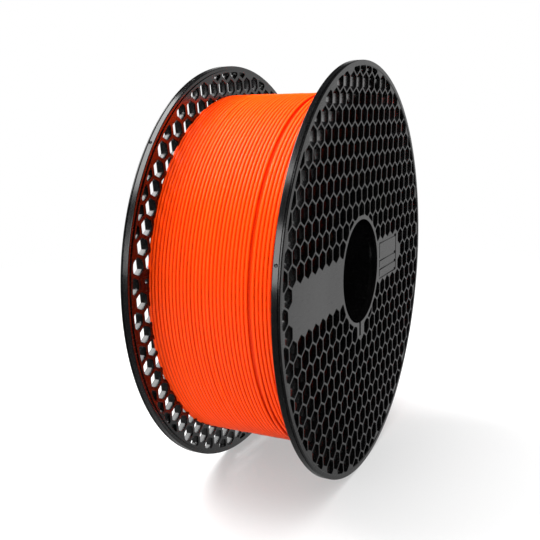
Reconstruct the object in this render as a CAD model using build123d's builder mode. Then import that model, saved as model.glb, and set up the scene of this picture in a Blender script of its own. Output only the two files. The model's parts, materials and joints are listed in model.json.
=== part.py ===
"""Filament spool: two honeycomb side frames, twist-locked to each other through a card core, wound full.

Millimetres. The spool's axis is Y, the origin is on the axis midway between the frames, and Z is up.
"""
from build123d import *
from math import cos, hypot, radians, sin, sqrt
import os

# Overall sizes
flange_diameter = 200.0
hub_width = 68.0  # over the flat hub faces
rim_flare = 2.25  # how far each rim stands out past its hub face
bore_diameter = 51.0  # clear hole for the spool holder

# Side frames
plate_thickness = 4.0
rim_depth = 3.8  # along the axis
rim_band = 2.5  # along the radius
rim_groove_width = 0.5
rim_groove_depth = 0.4
rim_lip_width = 0.7
rim_lip_height = 0.3  # how far the rim stands out past the cells
edge_chamfer = 0.3
bore_ring_width = 2.0
cell_pitch = 8.66  # across the flats, one rib included
rib_width = 1.0
smallest_cell_share = 0.16  # a part cell under this share of a whole one stays solid

# Plain plates among the cells, counted in cells from the axis
long_plate_steps = 10
short_plate_steps = 7
plate_rows = 1  # rows filled above and below the middle row
panel_ring_gap = 1.3  # recessed panel on the short plate, from the bore's ring
panel_end_gap = 2.8  # from the plate's last cell centre
panel_side_gap = 0.38  # from the nearest open cells
panel_depth = 0.5
panel_border = 0.9
panel_bar_shares = (0.39, 0.16, 0.16)  # each bar's height as a share of the panel's

# Details beside the bore and near the rim, placed as seen from outside
split_width = 2.0  # slot under the bore
split_depth = 6.9  # from the bore to its outer end
split_offset = -1.5  # its middle, sideways from the axis
split_border = 3.0  # plain strip on each side of it
split_end = 0.8  # plain strip past its end
left_turn = -4.5  # the left frame's pattern is turned a little against the right one's
plug_row = 2  # in this row the left frame's last whole cell is plugged, with a hole for the filament's end
plug_hole_diameter = 2.2
anchor_inset = 6.5  # arc web for tucking the filament's end, from the rim's inner face
anchor_width = 2.6
anchor_thickness = 1.4
anchor_start = 68.0
anchor_span = 17.0
anchor_hole_diameter = 2.1
anchor_hole_count = 3

# Core, hub and twist lock
core_diameter = 93.0
core_wall = 4.0
spigot_wall = 2.0
spigot_length = 10.0
socket_wall = 3.4
socket_length = 35.0
lug_count = 3
lug_span = 14.0
lug_width = 4.0
lug_recess = 0.5  # how much less a lug stands out than the socket's wall is thick
lug_setback = 10.0  # from the barrel's end to the lug's middle
lock_turn = 30.0  # from locked to free

# Clearances
running_gap = 0.1  # barrel in socket, on the radius
body_gap = 0.3  # between the left frame and all else
seat_gap = 0.05  # right spigot in the core, on the radius
slot_gap_span = 0.7  # beside a lug, in degrees

# Filament
turn_pitch = 1.775
turn_relief = 0.5  # depth of the valley between turns
winding_margin = 14.0  # how far the rims stand out past the winding

# Worked out from the sizes above
flange_radius = flange_diameter / 2
bore_radius = bore_diameter / 2
core_radius = core_diameter / 2
core_bore_radius = core_radius - core_wall
hub_face = hub_width / 2
hub_seat = hub_face - plate_thickness
rim_face = hub_face + rim_flare
cells_edge = rim_face - rim_lip_height
rim_back = rim_face - rim_depth
rim_inside = flange_radius - rim_band
anchor_radius = rim_inside - anchor_inset
winding_radius = flange_radius - winding_margin
flare_start = core_radius + body_gap
flare_slope = (cells_edge - hub_face) / (rim_inside - flare_start)
ring_radius = bore_radius + bore_ring_width
split_reach = bore_radius + split_depth
barrel_radius = ring_radius
lug_height = socket_wall - lug_recess
socket_bore_radius = barrel_radius + running_gap
socket_radius = socket_bore_radius + socket_wall
barrel_end = hub_seat - body_gap
lug_middle = barrel_end - lug_setback
slot_half_width = lug_width / 2 + body_gap
row_pitch = cell_pitch * sqrt(3) / 2
cell_radius = (cell_pitch - rib_width) / sqrt(3)
whole_cell = 1.5 * sqrt(3) * cell_radius**2
plug_reach = sqrt((rim_inside - cell_radius) ** 2 - (plug_row * row_pitch) ** 2)
plug_step = int(plug_reach / cell_pitch)
split_strip_reach = split_reach + split_end
panel_start = ring_radius + panel_ring_gap
panel_length = short_plate_steps * cell_pitch - panel_end_gap - panel_start
panel_height = 2 * ((plate_rows + 1) * row_pitch - cell_radius - panel_side_gap)
panel_bar_heights = [share * panel_height for share in panel_bar_shares]


def outside_plane(side, height, turn=0):
    """Plane square to the axis that faces outwards, on the right (side 1) or left (side -1).

    Its Y points up, or is turned counterclockwise from there by this many degrees.
    """
    across = (-side * cos(radians(turn)), 0, sin(radians(turn)))
    return Plane(origin=(0, side * height, 0), x_dir=across, z_dir=(0, side, 0))


def seat_height(radius):
    """Distance from the spool's middle to a frame's inner face at this radius."""
    return hub_seat + flare_slope * max(0, radius - flare_start)


def ring_sector(inner_radius, outer_radius, start, span):
    """A piece of a ring, with its angles counterclockwise from the plane's own X."""
    with BuildSketch() as sector:
        with BuildLine():
            inner = CenterArc((0, 0), inner_radius, start, span)
            outer = CenterArc((0, 0), outer_radius, start, span)
            Line(inner @ 0, outer @ 0)
            Line(inner @ 1, outer @ 1)
        make_face()
    return sector.sketch


def open_cell_centres():
    """Centres of a hexagonal grid centred on the axis, less the cells under the two plain plates."""
    rows = int(flange_radius / row_pitch) + 1
    columns = int(flange_radius / cell_pitch) + 1
    centres = []
    for row in range(-rows, rows + 1):
        for column in range(-columns, columns + 1):
            step = column + 0.5 * (row % 2)
            centre = (step * cell_pitch, row * row_pitch)
            in_plate = abs(row) <= plate_rows and -long_plate_steps <= step <= short_plate_steps
            in_ring = ring_radius - cell_radius < hypot(*centre) < rim_inside + cell_radius
            if in_ring and not in_plate:
                centres.append(centre)
    return centres


def cell_opening(centre):
    """One cell, cut back where it meets the rim, the bore's ring or the strips beside the split."""
    distance = hypot(*centre)
    with BuildSketch() as opening:
        with Locations(centre):
            RegularPolygon(radius=cell_radius, side_count=6, rotation=30)
        if distance > rim_inside - cell_radius:
            Circle(rim_inside, mode=Mode.INTERSECT)
        if distance < split_strip_reach + cell_radius:
            Circle(ring_radius, mode=Mode.SUBTRACT)
            with Locations((split_offset, -split_strip_reach / 2)):
                Rectangle(split_width + 2 * split_border, split_strip_reach, mode=Mode.SUBTRACT)
    return [face for face in opening.sketch.faces() if face.area > smallest_cell_share * whole_cell]


def make_openings():
    """Every cell of one side frame as a flat face, seen from outside."""
    faces = []
    for centre in open_cell_centres():
        faces += cell_opening(centre)
    return Sketch(Compound(faces).wrapped)


def plate_outline(side):
    """Half section of a side frame's plate and grooved rim, from the bore out, drawn on XY."""
    groove = rim_face - rim_lip_width
    points = [
        (bore_radius, hub_seat),
        (flare_start, hub_seat),
        (rim_inside, seat_height(rim_inside)),
        (rim_inside, rim_back),
        (flange_radius - edge_chamfer, rim_back),
        (flange_radius, rim_back + edge_chamfer),
        (flange_radius, groove - rim_groove_width),
        (flange_radius - rim_groove_depth, groove - rim_groove_width),
        (flange_radius - rim_groove_depth, groove),
        (flange_radius, groove),
        (flange_radius, rim_face - edge_chamfer),
        (flange_radius - edge_chamfer, rim_face),
        (rim_inside, rim_face),
        (rim_inside, cells_edge),
        (flare_start, hub_face),
        (bore_radius + edge_chamfer, hub_face),
        (bore_radius, hub_face - edge_chamfer),
    ]
    return [(radius, side * height) for radius, height in points]


def make_right_frame(openings):
    """The frame with the socket: honeycomb plate, panel, anchor web, core spigot and three L slots."""
    with BuildPart() as right_side_frame:
        with BuildSketch(Plane.XY) as section:
            with BuildLine():
                Polyline(*plate_outline(1), close=True)
            make_face()
        revolve(axis=Axis.Y)
        cut_plane = outside_plane(1, rim_face + body_gap)
        extrude(to_extrude=cut_plane * openings, amount=-2 * rim_depth, mode=Mode.SUBTRACT)

        # Split under the bore, right through the plate
        with BuildSketch(outside_plane(1, hub_face)):
            with Locations((split_offset, -(split_reach + bore_radius) / 2 + edge_chamfer)):
                Rectangle(split_width, split_reach - bore_radius + 2 * edge_chamfer)
        extrude(amount=-plate_thickness, mode=Mode.SUBTRACT)

        # Recessed panel with three plain bars left standing
        with BuildSketch(outside_plane(1, hub_face - panel_depth)):
            with Locations((panel_start + panel_length / 2, 0)):
                Rectangle(panel_length, panel_height)
            gap = (panel_height - sum(panel_bar_heights)) / (len(panel_bar_heights) + 1)
            top = panel_height / 2 - gap
            for bar_height in panel_bar_heights:
                with Locations((panel_start + panel_length / 2, top - bar_height / 2)):
                    Rectangle(panel_length - 2 * panel_border, bar_height, mode=Mode.SUBTRACT)
                top -= bar_height + gap
        extrude(amount=rim_flare + panel_depth, mode=Mode.SUBTRACT)

        # Arc web with tuck holes for the filament's end
        web = ring_sector(
            anchor_radius - anchor_width / 2, anchor_radius + anchor_width / 2, anchor_start, anchor_span
        )
        web_plane = outside_plane(1, seat_height(anchor_radius))
        extrude(to_extrude=web_plane * web, amount=anchor_thickness)
        with BuildSketch(web_plane):
            for index in range(anchor_hole_count):
                angle = anchor_start + anchor_span * (index + 0.5) / anchor_hole_count
                with PolarLocations(anchor_radius, 1, start_angle=angle):
                    Circle(anchor_hole_diameter / 2)
        extrude(amount=anchor_thickness, mode=Mode.SUBTRACT)

        # Spigot that centres the core, and the socket for the other frame's barrel
        with BuildSketch(outside_plane(1, hub_seat)):
            Circle(core_bore_radius - seat_gap)
            Circle(core_bore_radius - seat_gap - spigot_wall, mode=Mode.SUBTRACT)
        extrude(amount=-spigot_length)
        with BuildSketch(outside_plane(1, hub_seat)):
            Circle(socket_radius)
            Circle(socket_bore_radius, mode=Mode.SUBTRACT)
        extrude(amount=-socket_length)

        # L slots: an entry from the socket's mouth, then a quarter of a pitch round to the lock
        slot_span = lug_span + 2 * slot_gap_span
        slot_top = lug_middle + slot_half_width
        for index in range(lug_count):
            locked = 90 + index * 360 / lug_count - slot_span / 2
            entry = ring_sector(bore_radius, socket_radius + 1, locked + lock_turn, slot_span)
            extrude(
                to_extrude=outside_plane(1, slot_top) * entry,
                amount=-(slot_top - hub_seat + socket_length),
                mode=Mode.SUBTRACT,
            )
            sweep_slot = ring_sector(bore_radius, socket_radius + 1, locked, slot_span + lock_turn)
            extrude(
                to_extrude=outside_plane(1, slot_top) * sweep_slot,
                amount=-2 * slot_half_width,
                mode=Mode.SUBTRACT,
            )
    right_side_frame.part.label = "right_side_frame"
    return right_side_frame


def make_left_frame(openings):
    """The frame with the barrel: honeycomb plate, core spigot, and a barrel with three lugs."""
    with BuildPart() as left_side_frame:
        with BuildSketch(Plane.XY) as section:
            with BuildLine():
                Polyline(*plate_outline(-1), close=True)
            make_face()
        revolve(axis=Axis.Y)
        cut_plane = outside_plane(-1, rim_face + body_gap, left_turn)
        extrude(to_extrude=cut_plane * openings, amount=-2 * rim_depth, mode=Mode.SUBTRACT)

        # Plugged cell with a hole to tuck the filament's end in
        plug_centre = (plug_step * cell_pitch, plug_row * row_pitch)
        plug_plane = outside_plane(-1, seat_height(hypot(*plug_centre)), left_turn)
        with BuildSketch(plug_plane):
            with Locations(plug_centre):
                RegularPolygon(radius=cell_radius + rib_width / 2, side_count=6, rotation=30)
                Circle(plug_hole_diameter / 2, mode=Mode.SUBTRACT)
        extrude(amount=plate_thickness / 2)

        with BuildSketch(outside_plane(-1, hub_seat)):
            Circle(core_bore_radius - body_gap)
            Circle(core_bore_radius - body_gap - spigot_wall, mode=Mode.SUBTRACT)
        extrude(amount=-spigot_length)
        with BuildSketch(outside_plane(-1, hub_seat)):
            Circle(barrel_radius)
            Circle(bore_radius, mode=Mode.SUBTRACT)
        extrude(amount=-(hub_seat + barrel_end))

        # Lugs that lock in the socket's slots
        for index in range(lug_count):
            start = 90 + index * 360 / lug_count - lug_span / 2
            lug = ring_sector(bore_radius + 1, barrel_radius + lug_height, start, lug_span)
            extrude(to_extrude=outside_plane(1, lug_middle - lug_width / 2) * lug, amount=lug_width)
    left_side_frame.part.label = "left_side_frame"
    return left_side_frame


def make_core():
    """Card tube that the filament is wound on, seated on the right frame."""
    with BuildPart() as core_tube:
        with BuildSketch(outside_plane(1, hub_seat)):
            Circle(core_radius)
            Circle(core_bore_radius, mode=Mode.SUBTRACT)
        extrude(amount=-(2 * hub_seat - body_gap))
    core_tube.part.label = "core_tube"
    return core_tube


def make_winding():
    """The wound filament: a full package between the frames, with a ridge for each outer turn."""
    right_gap = running_gap
    left_gap = body_gap
    package_right = seat_height(winding_radius) - right_gap
    package_left = left_gap - seat_height(winding_radius)
    turns = int((package_right - package_left) / turn_pitch)
    first_edge = (package_right + package_left - turns * turn_pitch) / 2
    valley = winding_radius - turn_relief
    with BuildPart() as filament_winding:
        with BuildSketch(Plane.XY) as section:
            with BuildLine():
                Polyline(
                    (valley, first_edge),
                    (valley, left_gap - seat_height(valley)),
                    (flare_start, left_gap - hub_seat),
                    (core_radius, left_gap - hub_seat),
                    (core_radius, hub_seat - right_gap),
                    (flare_start, hub_seat - right_gap),
                    (valley, seat_height(valley) - right_gap),
                    (valley, first_edge + turns * turn_pitch),
                )
                for turn in range(turns):
                    edge = first_edge + turn * turn_pitch
                    ThreePointArc(
                        (valley, edge),
                        (winding_radius, edge + turn_pitch / 2),
                        (valley, edge + turn_pitch),
                    )
            make_face()
        revolve(axis=Axis.Y)
    filament_winding.part.label = "filament_winding"
    return filament_winding


os.makedirs("parts", exist_ok=True)
cell_openings = make_openings()
pieces = [
    make_right_frame(cell_openings),
    make_left_frame(cell_openings),
    make_core(),
    make_winding(),
]
for piece in pieces:
    export_step(piece.part, f"parts/{piece.part.label}.step")
    print(piece.part.label, len(piece.part.solids()), round(piece.part.volume), piece.part.is_valid)
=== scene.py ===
import json
import math

import bpy
import numpy as np
from mathutils import Matrix, Vector, geometry


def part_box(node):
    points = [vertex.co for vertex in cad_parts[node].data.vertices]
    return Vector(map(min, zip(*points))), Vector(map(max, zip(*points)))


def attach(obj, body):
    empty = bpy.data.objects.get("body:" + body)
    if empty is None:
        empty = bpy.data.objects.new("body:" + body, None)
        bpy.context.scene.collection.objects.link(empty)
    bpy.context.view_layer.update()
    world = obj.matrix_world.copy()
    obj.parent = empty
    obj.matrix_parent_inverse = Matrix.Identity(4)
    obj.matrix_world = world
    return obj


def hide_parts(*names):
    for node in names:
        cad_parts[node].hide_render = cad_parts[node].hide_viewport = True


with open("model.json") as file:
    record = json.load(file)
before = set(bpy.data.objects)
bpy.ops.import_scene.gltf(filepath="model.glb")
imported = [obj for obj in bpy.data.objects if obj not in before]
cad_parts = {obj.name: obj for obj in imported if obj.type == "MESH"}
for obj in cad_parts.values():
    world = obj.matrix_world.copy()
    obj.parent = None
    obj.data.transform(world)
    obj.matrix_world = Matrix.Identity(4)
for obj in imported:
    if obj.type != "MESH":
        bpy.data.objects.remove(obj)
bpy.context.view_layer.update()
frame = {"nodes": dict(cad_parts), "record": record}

mm = 0.001
scene = bpy.context.scene
scene.view_settings.view_transform = "Standard"
mounts = {mount["name"]: mount for mount in frame["record"]["mounts"]}
boreRadius = mounts["spindle_bore"]["dims"]["r_mm"]
rimFace = mounts["right_rim_face"]["pos_m"][1] / mm
boreEdge = 0.3  # mm of chamfer at the bore's mouth, past its measured length
hubFace = mounts["spindle_bore"]["dims"]["length_mm"] / 2 + boreEdge
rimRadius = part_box("right_side_frame")[1].x / mm
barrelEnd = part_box("left_side_frame")[1].y / mm
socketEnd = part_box("right_side_frame")[0].y / mm
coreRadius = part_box("core_tube")[1].x / mm
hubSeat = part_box("core_tube")[1].y / mm
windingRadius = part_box("filament_winding")[1].x / mm
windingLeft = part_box("filament_winding")[0].y / mm
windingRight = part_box("filament_winding")[1].y / mm
print("frame loaded")


def ringAngles(count, start=0.0):
    # evenly spaced angles round a whole turn
    return start + np.arange(count) * 2 * np.pi / count


def circlePoints(radius, angles):
    # cosine and sine times the radius
    return np.stack([radius * np.cos(angles), radius * np.sin(angles)], -1)


def cylinderPoints(radius, angle, height):
    # the same at a height each
    return np.stack([radius * np.cos(angle), radius * np.sin(angle), height], -1).reshape(-1, 3)


def outlineArea(outlines):
    # half the sum of the cross products of neighbouring points, for each outline at once
    following = np.roll(outlines, -1, axis=-2)
    cross = outlines[..., 0] * following[..., 1] - outlines[..., 1] * following[..., 0]
    return 0.5 * cross.sum(-1)


def insideOutline(points, outlines):
    # even-odd rule: a point is inside if a level ray from it crosses its outline an odd number of
    # times; one outline serves all points
    ax, ay = outlines[..., 0], outlines[..., 1]
    bx, by = np.roll(ax, -1, -1), np.roll(ay, -1, -1)
    px, py = points[:, None, 0], points[:, None, 1]
    spans = (ay > py) != (by > py)
    rise = np.where(np.abs(by - ay) < 1e-12, 1e-12, by - ay)
    crossing = ax + (py - ay) / rise * (bx - ax)
    return (spans & (px < crossing)).sum(1) % 2 == 1


def smoothNoise(seed, shape, coarse):
    # a grid of random values between -1 and 1, eased between coarse steps along both ways, periodic
    generator = np.random.default_rng(seed)
    knots = generator.uniform(-1, 1, coarse)
    for axis in (0, 1):
        place = np.arange(shape[axis]) * coarse[axis] / shape[axis]
        low = np.floor(place).astype(int)
        share = place - low
        share = share * share * (3 - 2 * share)
        share = share[:, None] if axis == 0 else share[None, :]
        before = np.take(knots, low % coarse[axis], axis)
        after = np.take(knots, (low + 1) % coarse[axis], axis)
        knots = before * (1 - share) + after * share
    return knots


def meshObject(name, points, faces, sharp=None, attributes=None):
    # points in mm; faces as arrays of corner indices, one for each kind; sharp says which edges to keep
    corners = np.concatenate([group.ravel() for group in faces])
    used, corners = np.unique(corners, return_inverse=True)
    sizes = np.concatenate([np.full(len(group), group.shape[1]) for group in faces])
    mesh = bpy.data.meshes.new(name)
    mesh.vertices.add(len(used))
    mesh.vertices.foreach_set("co", (np.asarray(points)[used] * mm).astype(np.float32).ravel())
    mesh.loops.add(len(corners))
    mesh.loops.foreach_set("vertex_index", corners.astype(np.int32))
    mesh.polygons.add(len(sizes))
    mesh.polygons.foreach_set("loop_start", (np.cumsum(sizes) - sizes).astype(np.int32))
    mesh.update(calc_edges=True)
    mesh.validate()
    mesh.polygons.foreach_set("use_smooth", np.ones(len(mesh.polygons), bool))
    for key, values in (attributes or {}).items():
        layer = mesh.attributes.new(key, "FLOAT", "POINT")
        layer.data.foreach_set("value", np.asarray(values)[used].astype(np.float32))
    if sharp is not None:
        mesh.set_sharp_from_angle(angle=math.radians(38))
        edges = np.empty(len(mesh.edges) * 2, np.int32)
        mesh.edges.foreach_get("vertices", edges)
        marked = np.empty(len(mesh.edges), bool)
        mesh.edges.foreach_get("use_edge_sharp", marked)
        marked |= sharp(used[edges.reshape(-1, 2)])
        mesh.edges.foreach_set("use_edge_sharp", marked)
    thing = bpy.data.objects.new(name, mesh)
    scene.collection.objects.link(thing)
    return thing


def gridFaces(rows, columns, closedRows=False):
    # quads between neighbouring rows and columns of a grid of points; the columns close, rows may
    r, c = np.meshgrid(np.arange(rows if closedRows else rows - 1), np.arange(columns), indexing="ij")
    nextR, nextC = (r + 1) % rows, (c + 1) % columns
    quads = [r * columns + c, r * columns + nextC, nextR * columns + nextC, nextR * columns + c]
    return np.stack(quads, -1).reshape(-1, 4)


def turnedRing(profile, segments):
    # a closed ring: each (radius, height) of the section carried round the axis, height outwards
    profile = np.asarray(profile)
    if outlineArea(profile) < 0:
        profile = profile[::-1]
    angles = ringAngles(segments)
    radius, height = profile[:, :1], profile[:, 1:] + 0 * angles
    return cylinderPoints(radius, angles, height), [gridFaces(len(profile), segments, True)]


def ringBlocks(radii, angles, heights, keep):
    # closed blocks of a ring: space is divided at these radii, angles and heights, keep says which
    # parts are filled, and a face stands wherever a filled one meets an empty one
    radii, heights = np.asarray(radii), np.asarray(heights)
    middleR, middleH = (radii[1:] + radii[:-1]) / 2, (heights[1:] + heights[:-1]) / 2
    nextA = np.roll(angles, -1)
    nextA[-1] += 2 * np.pi
    middleA = (angles + nextA) / 2
    r, a, h = np.meshgrid(middleR, middleA, middleH, indexing="ij")
    filled = keep(r, a, h).astype(int)
    padded = np.pad(filled, ((1, 1), (0, 0), (1, 1)))
    countA, countH = len(angles), len(heights)
    points = cylinderPoints(*np.meshgrid(radii, angles, heights, indexing="ij"))

    def at(i, j, k):
        return (i * countA + j % countA) * countH + k

    quads = []
    borders = [(np.diff(padded[:, :, 1:-1], axis=0), (0, 0, 1), (0, 1, 0)),
               (filled - np.roll(filled, 1, 1), (1, 0, 0), (0, 0, 1)),
               (np.diff(padded[1:-1], axis=2), (0, 1, 0), (1, 0, 0))]
    for change, one, two in borders:
        corners = [(0, 0, 0), one, tuple(np.add(one, two)), two]
        for sign in (1, -1):
            i, j, k = np.where(change == sign)
            ring = [at(i + a, j + b, k + c) for a, b, c in corners]
            quads.append(np.stack(ring[::sign], -1))
    return points, [np.concatenate(quads)]


def groundTriangles(face, sizes):
    # the ground within closed outlines of these sizes as anticlockwise triangles, with their middles
    # and with which point follows each one along its outline
    starts = np.cumsum(sizes) - sizes
    index = np.arange(len(face))
    following = index + 1
    following[starts + sizes - 1] = starts
    edges = np.column_stack([index, following]).tolist()
    result = geometry.delaunay_2d_cdt([Vector(p) for p in face.tolist()], edges, [], 0, 1e-6)
    triangles = np.array([source[0] for source in result[3]])[np.array(result[2])]
    middles = face[triangles].mean(1)
    anticlockwise = outlineArea(face[triangles]) > 0
    return np.where(anticlockwise[:, None], triangles, triangles[:, ::-1]), middles, following


def roundCorner(x, y, radius, startDegrees):
    # a quarter turn about (x, y), for a rounded corner
    angles = np.radians(startDegrees + np.linspace(0, 90, 4))
    return [(x + radius * math.cos(a), y + radius * math.sin(a)) for a in angles]


def roundedBox(x0, x1, y0, y1, radius):
    # a rectangle whose corners are quarter circles, anticlockwise
    corners = [(x1 - radius, y0 + radius, -90), (x1 - radius, y1 - radius, 0)]
    corners += [(x0 + radius, y1 - radius, 90), (x0 + radius, y0 + radius, 180)]
    return np.array([p for x, y, start in corners for p in roundCorner(x, y, radius, start)])


def placeOutside(points, side, turn=0.0):
    # from a frame's own (across, up, outwards) to the shared axes, after a turn in degrees
    c, s = math.cos(math.radians(turn)), math.sin(math.radians(turn))
    across = c * points[:, 0] - s * points[:, 1]
    up = s * points[:, 0] + c * points[:, 1]
    return np.stack([-side * across, side * points[:, 2], up], -1)


def joined(parts):
    # several (points, faces) shells as one, keeping triangles and quads apart
    points, faces, offset = [], {3: [], 4: []}, 0
    for shellPoints, shellFaces in parts:
        points.append(shellPoints)
        for group in shellFaces:
            faces[group.shape[1]].append(group + offset)
        offset += len(shellPoints)
    return np.concatenate(points), [np.concatenate(group) for group in faces.values() if group]


sideFrame = {  # mm and degrees, both frames
    "rimBand": 2.5,
    "rimDepth": 3.8,
    "rimLip": 0.3,
    "rimEdge": 0.28,
    "rimHold": 0.12,  # beside each rounded edge, so that the flat between stays flat to the eye
    "rimOverlap": 0.2,  # the rim starts outside the cells' edge by this much
    "bandOverlap": 0.7,  # and the honeycomb runs on into the rim
    "grooveFromFace": 0.7,
    "grooveWidth": 0.5,
    "grooveDepth": 0.4,
    "grooveEase": 0.08,
    "flareStart": 0.3,  # past the core
    "cellPitch": 8.66,
    "ribOutside": 0.9,
    "ribInside": 1.7,  # the cells narrow inwards, as the mould's pins do
    "edgeRound": 0.12,
    "cornerPower": 70,  # of the soft minimum; higher makes the cells' corners sharper
    "pointsPerCell": 24,
    "boreRing": 2.0,
    "borePoints": 126,
    "smallestCell": 0.16,
    "plateSteps": (10, 7),
    "plateRows": 1,
    "splitWidth": 2.0,
    "splitReach": 32.4,
    "splitOffset": -1.5,
    "splitBorder": 3.0,
    "splitEnd": 0.8,
    "panelStart": 28.8,
    "panelLength": 29.0,
    "panelHeight": 20.4,
    "panelDepth": 0.5,
    "panelBorder": 0.9,
    "panelCorner": 0.35,
    "panelBars": (0.39, 0.16, 0.16),
    "gateRing": ((0.22, -0.2), (0.75, -0.2), (0.75, 0.1), (0.55, 0.26), (0.22, 0.08)),
    "gatePlaces": {1: ((167.6, 33.9),), -1: ((41.0, 34.3), (67.4, 34.3))},  # degrees round and height
    "leftTurn": -4.5,
    "plugCell": (10, 2),  # steps and rows from the axis
    "plugOverlap": 0.05,
    "plugHole": 1.1,
    "plugThickness": 1.5,
    "anchorRadius": 91.0,
    "anchorWidth": 2.6,
    "anchorThickness": 1.4,
    "anchorStart": 68.0,
    "anchorSpan": 17.0,
    "anchorHoles": 3,
    "anchorHoleRadius": 1.05,
}
f = sideFrame
rimInside = rimRadius - f["rimBand"]
ringRadius = boreRadius + f["boreRing"]
flareStart = coreRadius + f["flareStart"]
cellsEdge = rimFace - f["rimLip"]
flareSlope = (cellsEdge - hubFace) / (rimInside - flareStart)
cellPitch = f["cellPitch"]
rowPitch = cellPitch * math.sqrt(3) / 2
cellSide = (cellPitch - f["ribOutside"]) / 2
splitStripReach = f["splitReach"] + f["splitEnd"]
plateThickness = hubFace - hubSeat
bandRadius = rimInside + f["bandOverlap"]  # the honeycomb's own outer edge, inside the rim's band


def plateHeight(radius):
    # level over the hub, then a straight slope out to the rim
    return hubFace + flareSlope * np.clip(radius - flareStart, 0, None)


def cellCentres():
    # a hexagonal grid centred on the axis, less the cells under the two plain plates
    row, column = np.meshgrid(np.arange(-15, 16), np.arange(-14, 15), indexing="ij")
    step = (column + 0.5 * (row % 2)).ravel()
    row = row.ravel()
    centres = np.stack([step * cellPitch, row * rowPitch], -1)
    longSteps, shortSteps = f["plateSteps"]
    inPlate = (np.abs(row) <= f["plateRows"]) & (step >= -longSteps) & (step <= shortSteps)
    distance = np.hypot(*centres.T)
    cellRadius = 2 * cellSide / math.sqrt(3)
    inRing = (distance > ringRadius - cellRadius) & (distance < rimInside + cellRadius)
    return centres[inRing & ~inPlate]


def cellOutlines(centres, grow):
    # Round a start point inside each cell, the outline lies at the soft minimum of the distances to
    # the cell's six sides, the rim, the bore's ring and the strips beside the split, each moved
    # outwards by grow. Also says which cells the strips cover.
    angles = ringAngles(f["pointsPerCell"], math.pi / 6)
    along = circlePoints(1, angles)
    normals = circlePoints(1, ringAngles(6))
    distance = np.hypot(*centres.T)
    outward = centres / distance[:, None]
    inner, outer = distance - cellSide, distance + cellSide
    middle = np.where(outer > rimInside, (inner + rimInside) / 2, distance)
    middle = np.where(inner < ringRadius, (outer + ringRadius) / 2, middle)
    start = outward * middle[:, None]
    offset, half = f["splitOffset"], f["splitWidth"] / 2 + f["splitBorder"]
    x = centres[:, 0]
    beside = (centres[:, 1] > -splitStripReach) & (centres[:, 1] < 0)
    strips = []
    for side in (-1, 1):
        edge = offset + side * half
        cut = beside & (np.abs(x - edge) < cellSide) & (side * (x - offset) > 0)
        start[cut, 0] = (x[cut] + side * cellSide + edge) / 2
        strips.append((side, edge, cut))
    cover = beside & (np.abs(x - offset) < half)

    far = 1e6
    facing = along @ normals.T
    room = cellSide + grow - (start - centres) @ normals.T
    reach = np.where(facing[None] > 1e-6, room[:, None, :] / np.maximum(facing, 1e-6)[None], far)
    toward = start @ along.T
    squared = (start**2).sum(1)[:, None]
    rimReach = -toward + np.sqrt(np.maximum(toward**2 - squared + (rimInside + grow) ** 2, 0))
    depth = toward**2 - squared + (ringRadius - grow) ** 2
    ringReach = np.where((toward < 0) & (depth > 0), -toward - np.sqrt(np.maximum(depth, 0)), far)
    across = along[None, :, 0]
    stripReach = np.full(rimReach.shape, far)
    for side, edge, cut in strips:
        meets = side * across < -1e-6
        straight = (edge - side * grow - start[:, :1]) / np.where(meets, across, -side)
        stripReach = np.where(cut[:, None] & meets, straight, stripReach)
    circles = np.stack([rimReach, ringReach, stripReach], -1)
    reaches = np.maximum(np.concatenate([reach, circles], -1), 1e-3)
    nearest = (reaches ** -f["cornerPower"]).sum(-1) ** (-1 / f["cornerPower"])
    return start[:, None] + nearest[..., None] * along[None], cover


def boreOutline(grow, split):
    # the bore's circle, with the narrow split below it where the frame has one
    radius, points = boreRadius + grow, f["borePoints"]
    if not split:
        return circlePoints(radius, ringAngles(points))
    half = f["splitWidth"] / 2 + grow
    middle = f["splitOffset"]
    left, right, end = middle - half, middle + half, -(f["splitReach"] + grow)
    angles = np.linspace(-math.acos(right / radius), 2 * math.pi - math.acos(left / radius), points - 6)
    arc = circlePoints(radius, angles)
    midway = (arc[-1, 1] + end) / 2
    slot = [(left, midway), (left, end), (middle - half / 3, end)]
    slot += [(middle + half / 3, end), (right, end), (right, midway)]
    return np.concatenate([arc, np.array(slot)])


def panelOutlines():
    # the recess's own outline and those of the plain bars left standing in it
    start, length, height = f["panelStart"], f["panelLength"], f["panelHeight"]
    outlines = [roundedBox(start, start + length, -height / 2, height / 2, f["panelCorner"])]
    bars = [share * height for share in f["panelBars"]]
    gap = (height - sum(bars)) / (len(bars) + 1)
    top = height / 2 - gap
    for bar in bars:
        left, right = start + f["panelBorder"], start + length - f["panelBorder"]
        outlines.append(roundedBox(left, right, top - bar, top, f["panelCorner"]))
        top -= bar + gap
    return outlines


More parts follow.
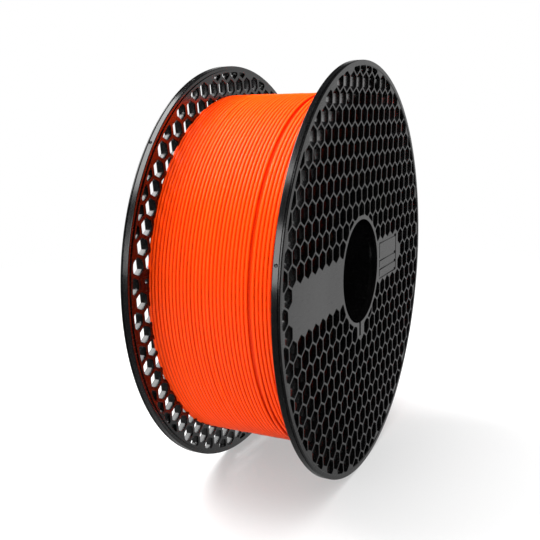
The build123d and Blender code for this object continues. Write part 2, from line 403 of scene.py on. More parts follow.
def honeycombShell(right):
    # One closed shell. The outlines are stacked as rings: a quarter round at the outer face, a wall
    # that narrows inwards, an eased edge at the inner face. Walls join ring to ring, and both faces
    # are the triangulated ground between the outlines. The right one has the split and the panel.
    centres = cellCentres()
    outlines, cover = cellOutlines(centres, 0)
    smallest = f["smallestCell"] * 2 * math.sqrt(3) * cellSide**2
    centres = centres[(outlineArea(outlines) > smallest) & ~cover]
    edge = f["edgeRound"]
    taper = (f["ribInside"] - f["ribOutside"]) / 2
    rounding = np.radians([0, 30, 60, 90])
    steps = [(edge * (1 - math.sin(a)), edge * (1 - math.cos(a)), False) for a in rounding]
    steps += [(-taper, edge, True), (0.3 * edge - taper, 0.3 * edge, True), (edge - taper, 0, True)]
    band = circlePoints(bandRadius, ringAngles(240))
    flat = panelOutlines() if right else []

    rings = []
    for grow, inset, atBack in steps:
        cells = cellOutlines(centres, grow)[0].reshape(-1, 2)
        bore = boreOutline(grow + taper if atBack else grow, right)
        outlines = np.concatenate([cells, bore, band] + flat)
        height = plateHeight(np.hypot(*outlines.T))
        height = height - plateThickness + inset if atBack else height - inset
        rings.append(np.column_stack([outlines, height]))
    levels, perRing, perCell, cells = len(rings), len(rings[0]), f["pointsPerCell"], len(centres)
    sizes = [perCell] * cells + [len(bore), len(band)] + [len(o) for o in flat]
    loopOf = np.repeat(np.arange(len(sizes)), sizes)
    index = np.arange(perRing)

    # triangulate the ground between the outlines and drop what lies inside an opening
    face = rings[0][:, :2]
    triangles, middle, following = groundTriangles(face, np.array(sizes))
    loops = loopOf[triangles]
    sameLoop = (loops[:, 0] == loops[:, 1]) & (loops[:, 1] == loops[:, 2])
    drop = np.hypot(*middle.T) > bandRadius
    which = np.where(sameLoop & (loops[:, 0] < cells))[0]
    cellFaces = face[: cells * perCell].reshape(cells, perCell, 2)
    drop[which] |= insideOutline(middle[which], cellFaces[loops[which, 0]])
    which = np.where(sameLoop & (loops[:, 0] == cells))[0]
    drop[which] |= insideOutline(middle[which], face[None, loopOf == cells])
    triangles, middle = triangles[~drop], middle[~drop]

    # walls face into the openings, and away from the middle at the outer band
    wall = index[loopOf < cells + 2]
    isBand = loopOf[wall] == cells + 1
    first, second = np.where(isBand, following[wall], wall), np.where(isBand, wall, following[wall])
    quads = []
    for here in range(0, (levels - 1) * perRing, perRing):
        there = here + perRing
        quads.append(np.column_stack([first + here, second + here, second + there, first + there]))
    backFaces = triangles[:, ::-1] + (levels - 1) * perRing
    points = np.concatenate(rings)

    # the recessed panel's floor is its part of the face let down, with a short wall at each outline
    if right:
        outline = index[loopOf >= cells + 2]
        shift = len(points) - outline[0]
        low = points[outline].copy()
        low[:, 2] -= f["panelDepth"]
        points = np.concatenate([points, low])
        inFloor = insideOutline(middle, flat[0][None])
        for bar in flat[1:]:
            inFloor &= ~insideOutline(middle, bar[None])
        triangles[inFloor] += shift
        isBar = loopOf[outline] > cells + 2
        ahead = following[outline]
        first, second = np.where(isBar, ahead, outline), np.where(isBar, outline, ahead)
        quads.append(np.column_stack([first, second, second + shift, first + shift]))
    sharp = outlineEdges(following, perRing, levels)
    return points, [np.concatenate([triangles, backFaces]), np.concatenate(quads)], sharp


def outlineEdges(following, perRing, levels):
    # says which edges run along an outline on the front or the back face
    def marked(edges):
        found = np.zeros(len(edges), bool)
        for level in (0, levels - 1):
            local = edges - level * perRing
            inRing = ((local >= 0) & (local < perRing)).all(1)
            a, b = np.clip(local, 0, perRing - 1).T
            found |= inRing & ((following[a] == b) | (following[b] == a))
        return found

    return marked


def rimSection():
    # the rim's section: flat lip with rounded edges, a narrow groove round the outside, plain back
    edge, inside, hold = f["rimEdge"], rimInside + f["rimOverlap"], f["rimHold"]
    back, groove = rimFace - f["rimDepth"], rimFace - f["grooveFromFace"]
    sink, width, ease = f["grooveDepth"], f["grooveWidth"], f["grooveEase"]
    section = roundCorner(rimRadius - edge, rimFace - edge, edge, 0)
    section += [(rimRadius - edge - hold, rimFace), (inside + edge + hold, rimFace)]
    section += roundCorner(inside + edge, rimFace - edge, edge, 90)
    section += roundCorner(inside + edge, back + edge, edge, 180)
    section += roundCorner(rimRadius - edge, back + edge, edge, 270)
    foot = groove - width
    section += [(rimRadius, back + edge + hold), (rimRadius, foot - ease), (rimRadius - ease, foot)]
    section += [(rimRadius - sink, foot + ease), (rimRadius - sink, groove - ease)]
    section += [(rimRadius - ease, groove), (rimRadius, groove + ease)]
    return section


def gateMark(angle, height):
    # the small raised ring that the mould's gate leaves on the rim, turned about its own axis, which
    # then points away from the spool's
    points, faces = turnedRing(f["gateRing"], 20)
    a = math.radians(angle)
    reach = rimRadius + points[:, 2]
    return np.stack([reach * math.cos(a) - points[:, 0] * math.sin(a),
                     reach * math.sin(a) + points[:, 0] * math.cos(a), height + points[:, 1]], -1), faces


def tubeSection(inner, outer, low, high):
    # a tube's wall, with its four edges eased
    edge = t["tubeEdge"]
    return [(inner + edge, low), (outer - edge, low), (outer, low + edge), (outer, high - edge),
            (outer - edge, high), (inner + edge, high), (inner, high - edge), (inner, low + edge)]


def anchorWeb():
    # a thin arc across the cells near the rim, with small round holes through it
    radius, half = f["anchorRadius"], f["anchorWidth"] / 2
    start, span = math.radians(f["anchorStart"]), math.radians(f["anchorSpan"])
    sweep = start + np.linspace(0, span, 40)
    along = np.concatenate([sweep, sweep[::-1]])
    across = np.concatenate([np.full(40, radius + half), np.full(40, radius - half)])
    outlines = [circlePoints(across, along)]
    for hole in range(f["anchorHoles"]):
        angle = start + span * (hole + 0.5) / f["anchorHoles"]
        outlines.append(circlePoints(radius, angle) + circlePoints(f["anchorHoleRadius"], ringAngles(20)))
    return flatPlate(outlines, plateHeight(radius) - plateThickness, f["anchorThickness"])


def plugPlate():
    # the plugged cell: a hexagon that fills it, with a round hole in the middle
    step, row = f["plugCell"]
    middle = np.array([step * cellPitch, row * rowPitch])
    reach = (cellPitch / 2 + f["plugOverlap"]) * 2 / math.sqrt(3)
    hexagon = middle + circlePoints(reach, ringAngles(6, math.pi / 6))
    hole = middle + circlePoints(f["plugHole"], ringAngles(24))
    base = plateHeight(np.hypot(*middle)) - plateThickness
    return flatPlate([hexagon, hole], base, f["plugThickness"])


def flatPlate(outlines, base, thickness):
    # the ground between an outer outline and its holes, all anticlockwise, raised to a thickness
    face = np.concatenate(outlines)
    sizes = np.array([len(o) for o in outlines])
    index = np.arange(len(face))
    triangles, middle, following = groundTriangles(face, sizes)
    keep = insideOutline(middle, outlines[0][None])
    for hole in outlines[1:]:
        keep &= ~insideOutline(middle, hole[None])
    triangles = triangles[keep]
    top = np.column_stack([face, np.full(len(face), base + thickness)])
    bottom = np.column_stack([face, np.full(len(face), base)])
    outer = index < sizes[0]
    first, second = np.where(outer, following, index), np.where(outer, index, following)
    count = len(face)
    quads = np.column_stack([first, second, second + count, first + count])
    return np.concatenate([top, bottom]), [np.concatenate([triangles, triangles[:, ::-1] + count]), quads]


twistLock = {  # mm and degrees
    "coreWall": 4.0,
    "spigotWall": 2.0,
    "tubeEdge": 0.25,
    "spigotLength": 10.0,
    "seatGap": 0.05,
    "bodyGap": 0.3,
    "runningGap": 0.1,
    "socketWall": 3.4,
    "lugs": 3,
    "lugSpan": 14.0,
    "lugWidth": 4.0,
    "lugHeight": 2.9,
    "lugSetback": 10.0,
    "lockTurn": 30.0,
    "slotGap": 0.7,
    "plateOverlap": 0.5,  # how far tubes run into the plate they stand on
    "boreStep": 0.02,  # the barrel's wall lies this much outside the plate's own bore
}
t = twistLock
barrelRadius = ringRadius
socketBore = barrelRadius + t["runningGap"]
socketRadius = socketBore + t["socketWall"]
lugMiddle = barrelEnd - t["lugSetback"]
tubeRoot = hubSeat + t["plateOverlap"]


def angleSteps(breaks):
    # angles every two degrees with these breaks put in, in place of any close beside them
    even = np.degrees(ringAngles(180))
    breaks = np.mod(breaks, 360)
    gap = np.abs(even[:, None] - breaks[None]).min(1)
    return np.radians(np.sort(np.concatenate([even[gap > 0.4], breaks])))


def inSpan(angle, start, span):
    # true where an angle lies within a span, in degrees, that may pass 360
    return np.mod(np.degrees(angle) - start, 360) < span


def socketBlocks():
    # the socket's tube with an L slot for each lug: an entry from the mouth, then a turn to the lock
    slotSpan = t["lugSpan"] + 2 * t["slotGap"]
    locked = 90 + np.arange(t["lugs"]) * 360 / t["lugs"] - slotSpan / 2
    breaks = np.concatenate([locked, locked + slotSpan, locked + t["lockTurn"],
                             locked + t["lockTurn"] + slotSpan])
    halfSlot = t["lugWidth"] / 2 + t["bodyGap"]
    low, high = lugMiddle - halfSlot, lugMiddle + halfSlot

    def keep(r, a, h):
        cut = np.zeros(r.shape, bool)
        for start in locked:
            cut |= (h > low) & (h < high) & inSpan(a, start, slotSpan + t["lockTurn"])
            cut |= (h < high) & inSpan(a, start + t["lockTurn"], slotSpan)
        return ~cut

    heights = [socketEnd, low, high, tubeRoot]
    return ringBlocks([socketBore, socketRadius], angleSteps(breaks), heights, keep)


def barrelBlocks():
    # the barrel's tube with its lugs, in the left frame's own axes, so heights run the other way
    starts = 90 - np.arange(t["lugs"]) * 360 / t["lugs"] - t["lugSpan"] / 2
    low, high = -lugMiddle - t["lugWidth"] / 2, -lugMiddle + t["lugWidth"] / 2

    def keep(r, a, h):
        lug = np.zeros(r.shape, bool)
        for start in starts:
            lug |= inSpan(a, start, t["lugSpan"]) & (h > low) & (h < high)
        return (r < barrelRadius) | lug

    breaks = np.concatenate([starts, starts + t["lugSpan"]])
    radii = [boreRadius + t["boreStep"], barrelRadius, barrelRadius + t["lugHeight"]]
    return ringBlocks(radii, angleSteps(breaks), [-barrelEnd, low, high, tubeRoot], keep)


def buildFrame(name, side, turn):
    # each frame is the honeycomb shell, the rim, the spigot, and its half of the twist lock
    right = side > 0
    points, faces, sharp = honeycombShell(right)
    spigot = coreRadius - t["coreWall"] - (t["seatGap"] if right else t["bodyGap"])
    section = tubeSection(spigot - t["spigotWall"], spigot, hubSeat - t["spigotLength"], tubeRoot)
    parts = [(points, faces), turnedRing(rimSection(), 288), turnedRing(section, 180)]
    parts += [socketBlocks(), anchorWeb()] if right else [plugPlate()]
    points, faces = joined(parts)
    placed = [(placeOutside(points, side, turn), faces)]
    # the gate marks and the barrel keep their places however the honeycomb is turned
    fixed = [gateMark(*place) for place in f["gatePlaces"][side]] + ([] if right else [barrelBlocks()])
    placed += [(placeOutside(points, side), faces) for points, faces in fixed]
    return meshObject(name, *joined(placed), sharp)


rightFrame = buildFrame("rightHoneycombFrame", 1, 0)
leftFrame = buildFrame("leftHoneycombFrame", -1, f["leftTurn"])
print("side frames built", len(rightFrame.data.polygons), len(leftFrame.data.polygons))


filament = {  # mm, turns and degrees
    "wire": 1.75,
    "pitch": 1.775,
    "layers": 25,
    "segments": 168,
    "turnSegments": 150,
    "roundPoints": 10,
    "turns": 34.6,
    "wander": 0.05,  # how far a turn strays sideways
    "lift": 0.06,  # and outwards
    "looseTurns": 7.39,  # the last ones lie further apart, past a gap that a strand crosses
    "loosePitch": 1.83,
    "gap": 1.25,
    "crossing": 0.13,  # of a turn
    "looseDrop": 0.2,
    "lastGap": 0.05,  # between the last turn and the frame
    "liftRoom": 0.08,  # the outer turns lie this much lower, so that none lifts past the winding's box
    "strayPerTurn": 9,
    "settle": 0.25,  # turns over which the end of the helix settles
    "frameGaps": {1: 0.12, -1: 0.35},  # between the package and each frame
    "boreGap": 0.12,
    "sideStray": 0.12,
    "sideStrays": 14,  # round the spool
    "sideRidge": 0.93,  # share of a strand's radius at which a ridge meets the next
    "topRidge": 0.95,
    "topMargin": 1.6,  # from the ends of the winding to its top ridges
    "bodyPaintedShadePlace": 0.16,  # the package's place round the strand, which sets how much painted crease shade it gets
    "alternateRecess": 0.75,  # every other layer ends this much further from the frame
    "tail": (  # the end's way to its hole: degrees round, mm above the outer turns and mm in from the frame
        (94, 0.3, 0.0), (87, 1.4, 0.0), (80, 3.6, -0.1), (75, 5.2, -0.4), (72, 5.8, -0.9), (71, 5.9, -1.5),
    ),
    "helixEnd": 100.0,  # degrees round, where the outer turns reach the frame
    "tailPoints": 14,  # between two of the last turn's places
    "seed": 41,
}
w = filament
wireRadius = w["wire"] / 2
outerCentre = windingRadius - wireRadius
layerPitch = (outerCentre - coreRadius - wireRadius) / (w["layers"] - 1)


def packageSide(side):
    # one end of the wound package, along the frame's inner face: a round ridge for each layer, every
    # other one set back, and each layer's edge straying a little round the spool
    count = w["layers"] - 1
    across = np.array([-1, -0.72, -0.36, 0.0, 0.36, 0.72])
    layer = np.repeat(np.arange(count), len(across))
    offset = np.tile(across, count)
    radius = coreRadius + wireRadius + (layer + offset / 2) * layerPitch
    fall = wireRadius * (1 - np.sqrt(1 - (w["sideRidge"] * offset) ** 2))
    stray = smoothNoise(w["seed"] + side, (count, w["segments"]), (count, w["sideStrays"]))
    recess = (layer % 2) * w["alternateRecess"] + fall
    edge = w["sideStray"] * (1 + np.repeat(stray, len(across), 0))
    reach = plateHeight(radius) - plateThickness - w["frameGaps"][side] - recess
    height = reach[:, None] - edge
    return radius[:, None] + 0 * height, side * height


def packageBody():
    # the package as a closed surface of ring angle and section: one end, the ridged layer under the
    # outer turns, the other end, and the bore on the core
    rightR, rightH = packageSide(1)
    leftR, leftH = packageSide(-1)
    across = np.array([-0.8, -0.3, 0.3, 0.8])
    turns = int((windingRight - windingLeft) / w["pitch"]) - 1
    turn = np.repeat(np.arange(turns), len(across))
    offset = np.tile(across, turns)
    underTop = outerCentre - layerPitch + wireRadius
    radius = underTop - wireRadius * (1 - np.sqrt(1 - (w["topRidge"] * offset) ** 2))
    height = windingRight - w["topMargin"] - (turn + offset / 2 + 0.5) * w["pitch"]
    keep = height > windingLeft + w["topMargin"]
    ones = np.ones(w["segments"])
    topR, topH = radius[keep][:, None] * ones, height[keep][:, None] * ones
    boreR = np.full((2, w["segments"]), coreRadius + w["boreGap"])
    sectionR = np.concatenate([rightR, topR, leftR[::-1], boreR])
    sectionH = np.concatenate([rightH, topH, leftH[::-1], leftH[:1], rightH[:1]])
    return sectionR[::-1], sectionH[::-1]


def strandTube(angle, radius, height, name):
    # a round strand along a path of angle, radius and height: each ring of points lies square to the
    # path and starts on the side away from the axis; the ends are capped
    count = w["roundPoints"]
    phi = ringAngles(count)[:, None]
    outward, path = cylinderPoints(1, angle, 0 * angle), cylinderPoints(radius, angle, height)
    tangent = np.gradient(path, axis=0)
    tangent /= np.linalg.norm(tangent, axis=1)[:, None]
    first = outward - (outward * tangent).sum(1)[:, None] * tangent
    first /= np.linalg.norm(first, axis=1)[:, None]
    second = np.cross(tangent, first)
    ring = np.cos(phi) * first[:, None] + np.sin(phi) * second[:, None]
    points = (path[:, None] + wireRadius * ring).reshape(-1, 3)
    along = np.concatenate([[0], np.cumsum(np.linalg.norm(np.diff(path, axis=0), axis=1))])
    faces = [gridFaces(len(angle), count), np.arange(count)[None, ::-1]]
    faces.append(((len(angle) - 1) * count + np.arange(count))[None])
    return meshObject(name, placeOutside(points, 1), faces, attributes={
        "alongStrand": np.repeat(along, count), "aroundStrand": np.tile(phi[:, 0] / (2 * np.pi), len(angle))})


def outerLayer():
    # the helix of outer turns: one pitch a turn, with slow random straying sideways and outwards; past
    # a quick step across a gap the last turns lie further apart
    count = int(w["turns"] * w["turnSegments"])
    turn = np.arange(count + 1) / w["turnSegments"]
    knots = (int(w["turns"] * w["strayPerTurn"]), 1)
    sway = smoothNoise(w["seed"], (count + 1, 1), knots)[:, 0]
    lift = smoothNoise(w["seed"] + 7, (count + 1, 1), knots)[:, 0]
    loose = np.clip(turn - (w["turns"] - w["looseTurns"]), 0, None)
    crossed = np.clip(loose / w["crossing"], 0, 1)
    crossed = crossed * crossed * (3 - 2 * crossed)
    height = turn * w["pitch"] + loose * (w["loosePitch"] - w["pitch"]) + w["gap"] * crossed
    height += windingRight - wireRadius - w["lastGap"] - height[-1]
    settle = np.clip((w["turns"] - turn) / w["settle"], 0, 1)
    height += w["wander"] * sway * settle
    radius = outerCentre - w["liftRoom"] + (w["lift"] * lift - w["looseDrop"] * crossed) * settle
    return math.radians(w["helixEnd"]) + (turn[-1] - turn) * 2 * np.pi, radius, height


def tailTurn(angle, radius, height):
    # the last turn climbs from the outer ones into an anchor hole, on a Catmull-Rom curve: each
    # stretch is the cubic whose slopes are half the difference of the neighbouring places
    before = [(angle[i], radius[i], height[i]) for i in (-w["tailPoints"], -1)]
    places = [(math.radians(a), outerCentre + r, height[-1] - inset) for a, r, inset in w["tail"]]
    knots = np.array(before + places + places[-1:])
    share = (np.arange(w["tailPoints"]) + 1)[:, None, None] / w["tailPoints"]
    p0, p1, p2, p3 = knots[:-3], knots[1:-2], knots[2:-1], knots[3:]
    curve = p1 + 0.5 * share * (p2 - p0 + share * (2 * p0 - 5 * p1 + 4 * p2 - p3 + share * (
        3 * p1 - p0 - 3 * p2 + p3)))
    return curve.transpose(1, 0, 2).reshape(-1, 3).T


bodyR, bodyH = packageBody()
rings = ringAngles(w["segments"])
# the package body sits at one place round the strand, so it carries part of the painted crease shade all over
windingBody = meshObject(
    "woundFilamentPackage", placeOutside(cylinderPoints(bodyR, rings, bodyH), 1),
    [gridFaces(len(bodyR), w["segments"], True)],
    attributes={"alongStrand": (bodyR * rings).ravel(), "aroundStrand": np.full(bodyR.size, w["bodyPaintedShadePlace"])})
layer = np.array(outerLayer())
outerTurns = strandTube(*np.concatenate([layer, tailTurn(*layer)], 1), "outerFilamentTurns")
print("filament built", len(windingBody.data.polygons), len(outerTurns.data.polygons))


def fromHex(value):
    # an sRGB hex colour as linear red, green, blue and alpha
    parts = [int(value[i:i + 2], 16) / 255 for i in (1, 3, 5)]
    return [p / 12.92 if p <= 0.04045 else ((p + 0.055) / 1.055) ** 2.4 for p in parts] + [1.0]


def nodeAdder(tree):
    # empties a node tree and returns the function that adds one node to it, with its settings and
    # its inputs: a value is set, a socket is linked, and a node means its first output in use
    tree.nodes.clear()

    def add(kind, *inputs, **settings):
        node = tree.nodes.new("ShaderNode" + kind)
        for key, value in settings.items():
            setattr(node, key, value)
        for key, value in [pair for group in inputs for pair in group.items()]:
            if isinstance(value, bpy.types.Node):
                value = next(output for output in value.outputs if output.enabled)
            if isinstance(value, bpy.types.NodeSocket):
                tree.links.new(value, node.inputs[key])
            else:
                node.inputs[key].default_value = value
        return node

    return add


def newMaterial(name):
    material = bpy.data.materials.new(name)
    material.use_nodes = True
    return material, nodeAdder(material.node_tree)


def perMetre(size):
    # a pattern's scale from the size in mm of one of its features
    return 1 / (size * mm)


def limits(low, high, to=(0, 1)):
    # a map's limits: from low and high to the two values given
    return {"From Min": low, "From Max": high, "To Min": to[0], "To Max": to[1]}


eased = {"interpolation_type": "SMOOTHSTEP"}
colours = {"data_type": "RGBA"}
blackPlastic = {
    "colours": {"A": fromHex("#060607"), "B": fromHex("#0C0C0C")},  # deep and faded
    "dust": {"B": fromHex("#35332F")},
    "dustSize": {"Scale": perMetre(0.5), "Detail": 1.0},
    "dustLevels": limits(0.76, 0.8),  # noise levels between which a speck comes in
    "waviness": {"Scale": perMetre(9.0), "Detail": 2.0},
    "grain": {"Scale": perMetre(0.45), "Detail": 2.0},  # really near 0.08 mm, drawn coarser to show
    "scuffs": {"Rotation": (0.2, 0.9, 0.5), "Scale": (perMetre(7.0), perMetre(0.22), perMetre(0.22))},
    "scuffLevels": limits(0.72, 0.8),
    "scuffDulling": 0.18,
    "roughness": limits(0, 1, (0.13, 0.24)),
    "waveBump": {"Strength": 0.35, "Distance": 0.12 * mm},
    "grainBump": {"Strength": 0.12, "Distance": 0.03 * mm},
    "skin": {"IOR": 1.58},
}


def mouldedPolycarbonate():
    # injection-moulded black polycarbonate: a semi-gloss skin with slow sink waviness, a faint
    # moulded grain, hair scuffs from handling and a little dust
    p = blackPlastic
    material, add = newMaterial("mouldedBlackPolycarbonate")
    place = add("TexCoord").outputs["Object"]
    slow = add("TexNoise", p["waviness"], {"Vector": place})
    grain = add("TexNoise", p["grain"], {"Vector": place})
    stretched = add("Mapping", p["scuffs"], {"Vector": place})
    scuff = add("TexNoise", {"Scale": 1.0, "Detail": 0.0}, {"Vector": stretched})
    scuffs = add("MapRange", p["scuffLevels"], {"Value": scuff})
    speck = add("TexNoise", p["dustSize"], {"Vector": place})
    specks = add("MapRange", p["dustLevels"], {"Value": speck})
    base = add("Mix", p["colours"], {"Factor": slow}, **colours)
    dusty = add("Mix", p["dust"], {"Factor": specks, "A": base}, **colours)
    rough = add("MapRange", p["roughness"], {"Value": slow})
    rougher = add("Math", {0: scuffs, 1: p["scuffDulling"]}, operation="MULTIPLY")
    total = add("Math", {0: rough, 1: rougher}, operation="ADD")
    wave = add("Bump", p["waveBump"], {"Height": slow})
    skin = add("Bump", p["grainBump"], {"Height": grain, "Normal": wave})
    shader = add("BsdfPrincipled", p["skin"], {"Base Color": dusty, "Roughness": total, "Normal": skin})
    add("OutputMaterial", {"Surface": shader})
    return material


orangePla = {
    "colours": {"A": fromHex("#FF5205"), "B": fromHex("#F64102")},  # pale and deep shade
    "paintedCreaseShade": {"B": fromHex("#D82600")},
    "paintedCreaseLevels": limits(0.75, 0.2),  # cosine of the place round the strand, where painted crease shade comes in
    "shadeDrift": {"Scale": (1 / 160.0, 0.15, 1)},  # 160 mm of strand between changes of shade
    "dieLines": {"Scale": (1 / 12.0, 1 / 0.12, 1)},  # lines 12 mm long, eight round the strand
    "dieBump": {"Strength": 0.25, "Distance": 0.03 * mm},
    "glossDrift": {"Scale": perMetre(30.0), "Detail": 1.0},
    "roughness": limits(0, 1, (0.34, 0.46)),
    "skin": {"IOR": 1.46, "Specular IOR Level": 0.14},
}


def extrudedPla():
    # orange PLA filament, extruded and drawn: a glossy round strand with faint lines from the die
    # along it, a shade that drifts slowly down its length, and painted crease shade darkening its sides
    p = orangePla
    material, add = newMaterial("extrudedOrangePla")
    along = add("Attribute", attribute_name="alongStrand").outputs["Fac"]
    around = add("Attribute", attribute_name="aroundStrand").outputs["Fac"]
    drawn = add("CombineXYZ", {0: along, 1: around})
    shadePlace = add("Mapping", p["shadeDrift"], {"Vector": drawn})
    shade = add("TexNoise", {"Scale": 1.0, "Detail": 2.0}, {"Vector": shadePlace})
    linePlace = add("Mapping", p["dieLines"], {"Vector": drawn})
    lines = add("TexNoise", {"Scale": 1.0, "Detail": 1.0}, {"Vector": linePlace})
    place = add("TexCoord").outputs["Object"]
    cloud = add("TexNoise", p["glossDrift"], {"Vector": place})
    base = add("Mix", p["colours"], {"Factor": shade}, **colours)
    # painted shade: the strand turns deep red towards its sides, standing in for the shade in the creases
    # between strands
    turned = add("Math", {0: around, 1: 2 * math.pi}, operation="MULTIPLY")
    facing = add("Math", {0: turned}, operation="COSINE")
    paintedCreaseShare = add("MapRange", p["paintedCreaseLevels"], {"Value": facing}, **eased)
    base = add("Mix", p["paintedCreaseShade"], {"Factor": paintedCreaseShare, "A": base}, **colours)
    rough = add("MapRange", p["roughness"], {"Value": cloud})
    skin = add("Bump", p["dieBump"], {"Height": lines})
    shader = add("BsdfPrincipled", p["skin"], {"Base Color": base, "Roughness": rough, "Normal": skin})
    add("OutputMaterial", {"Surface": shader})
    return material


corePaper = {
    "colours": {"A": fromHex("#8E6E4B"), "B": fromHex("#A98A63")},
    "seam": {"B": fromHex("#5E4630")},
    "seamLevels": limits(0.965, 0.985),  # share of the band where the seam's shadow comes in
    "bandWidth": 48.0,  # mm of card between seams, along the axis
    "fibre": {"Scale": perMetre(0.8), "Detail": 4.0},
    "fibreBump": {"Strength": 0.5, "Distance": 0.15 * mm},
    "skin": {"IOR": 1.5, "Roughness": 0.82},
}


def woundCard():
    # spiral-wound kraft card: matt brown paper with short fibres and a dark helical seam
    p = corePaper
    material, add = newMaterial("spiralWoundKraftCard")
    place = add("TexCoord").outputs["Object"]
    parts = add("SeparateXYZ", {0: place})
    turn = add("Math", {0: parts.outputs["Z"], 1: parts.outputs["X"]}, operation="ARCTAN2")
    rise = add("Math", {0: parts.outputs["Y"], 1: 2 * perMetre(p["bandWidth"])}, operation="MULTIPLY")
    whole = add("Math", {0: turn, 1: 1 / math.pi}, operation="MULTIPLY")
    spiral = add("Math", {0: rise, 1: whole}, operation="ADD")
    bandShare = add("Math", {0: spiral}, operation="FRACT")
    seam = add("MapRange", p["seamLevels"], {"Value": bandShare})
    fibres = add("TexNoise", p["fibre"], {"Vector": place})
    paper = add("Mix", p["colours"], {"Factor": fibres}, **colours)
    seamed = add("Mix", p["seam"], {"Factor": seam, "A": paper}, **colours)
    height = add("Math", {0: fibres, 1: seam}, operation="SUBTRACT")
    skin = add("Bump", p["fibreBump"], {"Height": height})
    shader = add("BsdfPrincipled", p["skin"], {"Base Color": seamed, "Normal": skin})
    add("OutputMaterial", {"Surface": shader})
    return material


plastic, pla, card = mouldedPolycarbonate(), extrudedPla(), woundCard()
for piece, material in ((rightFrame, plastic), (leftFrame, plastic), (windingBody, pla), (outerTurns, pla)):
    piece.data.materials.append(material)
coreTube = frame["nodes"]["core_tube"]
coreTube.data.materials.clear()
coreTube.data.materials.append(card)

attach(rightFrame, "spool")
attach(leftFrame, "left_side")
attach(windingBody, "spool")
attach(outerTurns, "spool")
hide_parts("right_side_frame")
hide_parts("left_side_frame")
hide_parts("filament_winding")
print("materials set")

studio = {
    "floorTones": {"A": fromHex("#F6F6F6"), "B": fromHex("#F0F0F0")},  # as the camera sees it
    "mottle": {"Scale": perMetre(120.0)},
    "floorBounce": {"A": fromHex("#C0C0C0")},  # as it lights the spool, so the underside stays deep
    "floorSize": 6.0,  # m
    "floorGap": 0.1,  # mm under the rims
    "floorFade": limits(0.16, 0.62),  # m from the axis, where the floor turns into backdrop
    "floorGloss": limits(-0.15, 0.1, (0.08, 0.62)),  # m behind the axis; how bright it shows in gloss
    "lampShade": 0.22,  # share of the floor's look that is the lamps' own light, beside the painted soft shadow
    "shadeReach": {"Distance": 0.11},  # m over which nearby things deepen the floor's painted shadow
    "shadeSamples": 24,
    "deepShade": {"To Min": 0.50},  # the floor's tone where its painted shadow is deepest
    "fillToward": (0.72, -0.69, 0),
    "fill": limits(-0.9, 0.6, (0.08, 0.45)),  # cosine from that direction; strength behind and there
    "darkRoom": 0.02,
    "wallHeight": limits(0.22, 0.45, (0.64, 0.02)),  # sine of the elevation where the pale wall ends
    "wallSide": limits(-0.25, 0.25),
    "diffuseOnly": ("overheadSheet", "keyLight"),  # lamps that show in no gloss
    "lamps": (  # name, direction, distance m, width m, height m, watts
        ("leftSoftbox", (0.14, -0.65, 0.74), 1.3, 1.25, 0.62, 14.0),
        ("frontStrip", (0.87, -0.41, 0.26), 1.3, 0.42, 0.62, 4.0),
        ("overheadSheet", (0.05, 0.0, 1.0), 1.6, 1.5, 1.5, 37.0),
        ("keyLight", (0.02, -0.60, 0.80), 1.4, 1.1, 0.7, 56.0),
    ),
}
s = studio
camera = {  # degrees, mm, and a 36 mm wide sensor
    "azimuth": 115.798,
    "elevation": 11.816,
    "roll": -1.118,
    "distance": 383.98,
    "aimRight": -14.205,
    "aimUp": -1.6,
    "lens": 50.2,
    "nearest": 0.01,  # m
    "farthest": 50,
}
# the camera's backward, level, right and up directions
a, e, r = (math.radians(camera[key]) for key in ("azimuth", "elevation", "roll"))
back = Vector((math.sin(a) * math.cos(e), -math.cos(a) * math.cos(e), math.sin(e)))
level = Vector((math.cos(a), math.sin(a), 0))
upright = back.cross(level)
right = math.cos(r) * level + math.sin(r) * upright
up = math.cos(r) * upright - math.sin(r) * level
eye = bpy.data.objects.new("camera", bpy.data.cameras.new("camera"))
place = (back * camera["distance"] + level * camera["aimRight"] + upright * camera["aimUp"]) * mm
eye.matrix_world = Matrix.Translation(place) @ Matrix((right, up, back)).transposed().to_4x4()
eye.data.lens = camera["lens"]
eye.data.clip_start, eye.data.clip_end = camera["nearest"], camera["farthest"]
scene.collection.objects.link(eye)
scene.camera = eye

for name, direction, distance, width, height, watts in s["lamps"]:
    lamp = bpy.data.lights.new(name, "AREA")
    lamp.shape = "RECTANGLE"
    lamp.size, lamp.size_y, lamp.energy = width, height, watts
    holder = bpy.data.objects.new(name, lamp)
    toward = Vector(direction).normalized()
    holder.location = toward * distance
    holder.rotation_mode = "QUATERNION"
    holder.rotation_quaternion = toward.to_track_quat("Z", "Y")
    holder.visible_glossy = name not in s["diffuseOnly"]
    scene.collection.objects.link(holder)

world = bpy.data.worlds.new("studioWorld")
scene.world = world
world.use_nodes = True
add = nodeAdder(world.node_tree)
toward = add("TexCoord").outputs["Generated"]
parts = add("SeparateXYZ", {0: toward})
rearward = (-back.x, -back.y, 0)  # level, from the camera's first place past the spool
behind = add("VectorMath", {0: toward, 1: rearward}, operation="DOT_PRODUCT")
facing = add("VectorMath", {0: toward, 1: s["fillToward"]}, operation="DOT_PRODUCT")
wallSide = add("MapRange", s["wallSide"], {"Value": behind}, **eased)
wallTop = add("MapRange", s["wallHeight"], {"Value": parts.outputs["Z"]}, **eased)
wall = add("Math", {0: wallSide, 1: wallTop}, operation="MULTIPLY")
wallLight = add("Math", {0: wall, 1: s["darkRoom"]}, operation="MAXIMUM")
rays = add("LightPath")
pureWhite = (1, 1, 1, 1)
glossy = add("Background", {"Strength": wallLight, "Color": pureWhite})
fillSide = add("MapRange", s["fill"], {"Value": facing})
fillLight = add("Background", {"Strength": fillSide, "Color": pureWhite})
white = add("Background", {"Strength": 1.0, "Color": pureWhite})
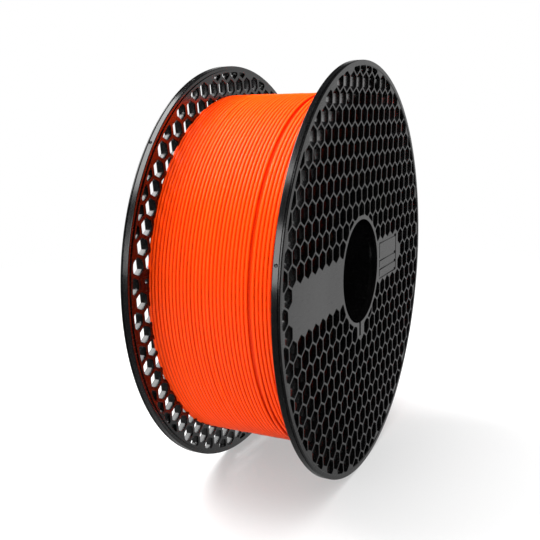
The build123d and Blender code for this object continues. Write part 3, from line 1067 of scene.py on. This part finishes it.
notCamera = add("MixShader", {0: rays.outputs["Is Glossy Ray"], 1: fillLight, 2: glossy})
sky = add("MixShader", {0: rays.outputs["Is Camera Ray"], 1: notCamera, 2: white})
add("OutputWorld", {"Surface": sky})

floorLevel = -(rimRadius + s["floorGap"])
half = s["floorSize"] / 2 / mm
corners = [(x, y, floorLevel) for x, y in ((-half, -half), (half, -half), (half, half), (-half, half))]
floor = meshObject("studioFloor", np.array(corners), [np.array([[0, 1, 2, 3]])])
paint, add = newMaterial("mattWhitePaintedBoard")  # matt white paint: pale, even, no shine; to the camera mostly a glow with a painted shadow near the spool
board = add("TexCoord").outputs["Object"]
mottle = add("TexNoise", s["mottle"], {"Vector": board})
tone = add("Mix", s["floorTones"], {"Factor": mottle}, **colours)
rays = add("LightPath")
seen = rays.outputs["Is Camera Ray"]
lit = add("Mix", s["floorBounce"], {"Factor": seen, "B": tone}, **colours)
diffuse = add("BsdfDiffuse", {"Color": lit})
flat = add("VectorMath", {0: board, 1: (1, 1, 0)}, operation="MULTIPLY")
far = add("VectorMath", {0: flat}, operation="LENGTH")
fade = add("MapRange", s["floorFade"], {"Value": far}, **eased)
white = add("Emission", {"Strength": 1.0})
rear = add("VectorMath", {0: board, 1: rearward}, operation="DOT_PRODUCT")
sheen = add("MapRange", s["floorGloss"], {"Value": rear}, **eased)
pale = add("Emission", {"Strength": sheen})
# painted shadow: a glow that dims where ambient occlusion finds things close, standing in for the spool's
# soft shadow on the floor
closeness = add("AmbientOcclusion", s["shadeReach"], samples=s["shadeSamples"])
shade = add("MapRange", s["deepShade"], {"Value": closeness.outputs["AO"]})
paintedShadowGlow = add("Emission", {"Strength": shade})
lampShare = add("Math", {0: seen, 1: s["lampShade"]}, operation="MULTIPLY")
notLamp = add("Math", {0: seen, 1: lampShare}, operation="SUBTRACT")
near = add("MixShader", {0: notLamp, 1: diffuse, 2: paintedShadowGlow})
backdrop = add("Math", {0: fade, 1: seen}, operation="MULTIPLY")
faded = add("MixShader", {0: backdrop, 1: near, 2: white})
both = add("MixShader", {0: rays.outputs["Is Glossy Ray"], 1: faded, 2: pale})
add("OutputMaterial", {"Surface": both})
floor.data.materials.append(paint)
print("studio ready")
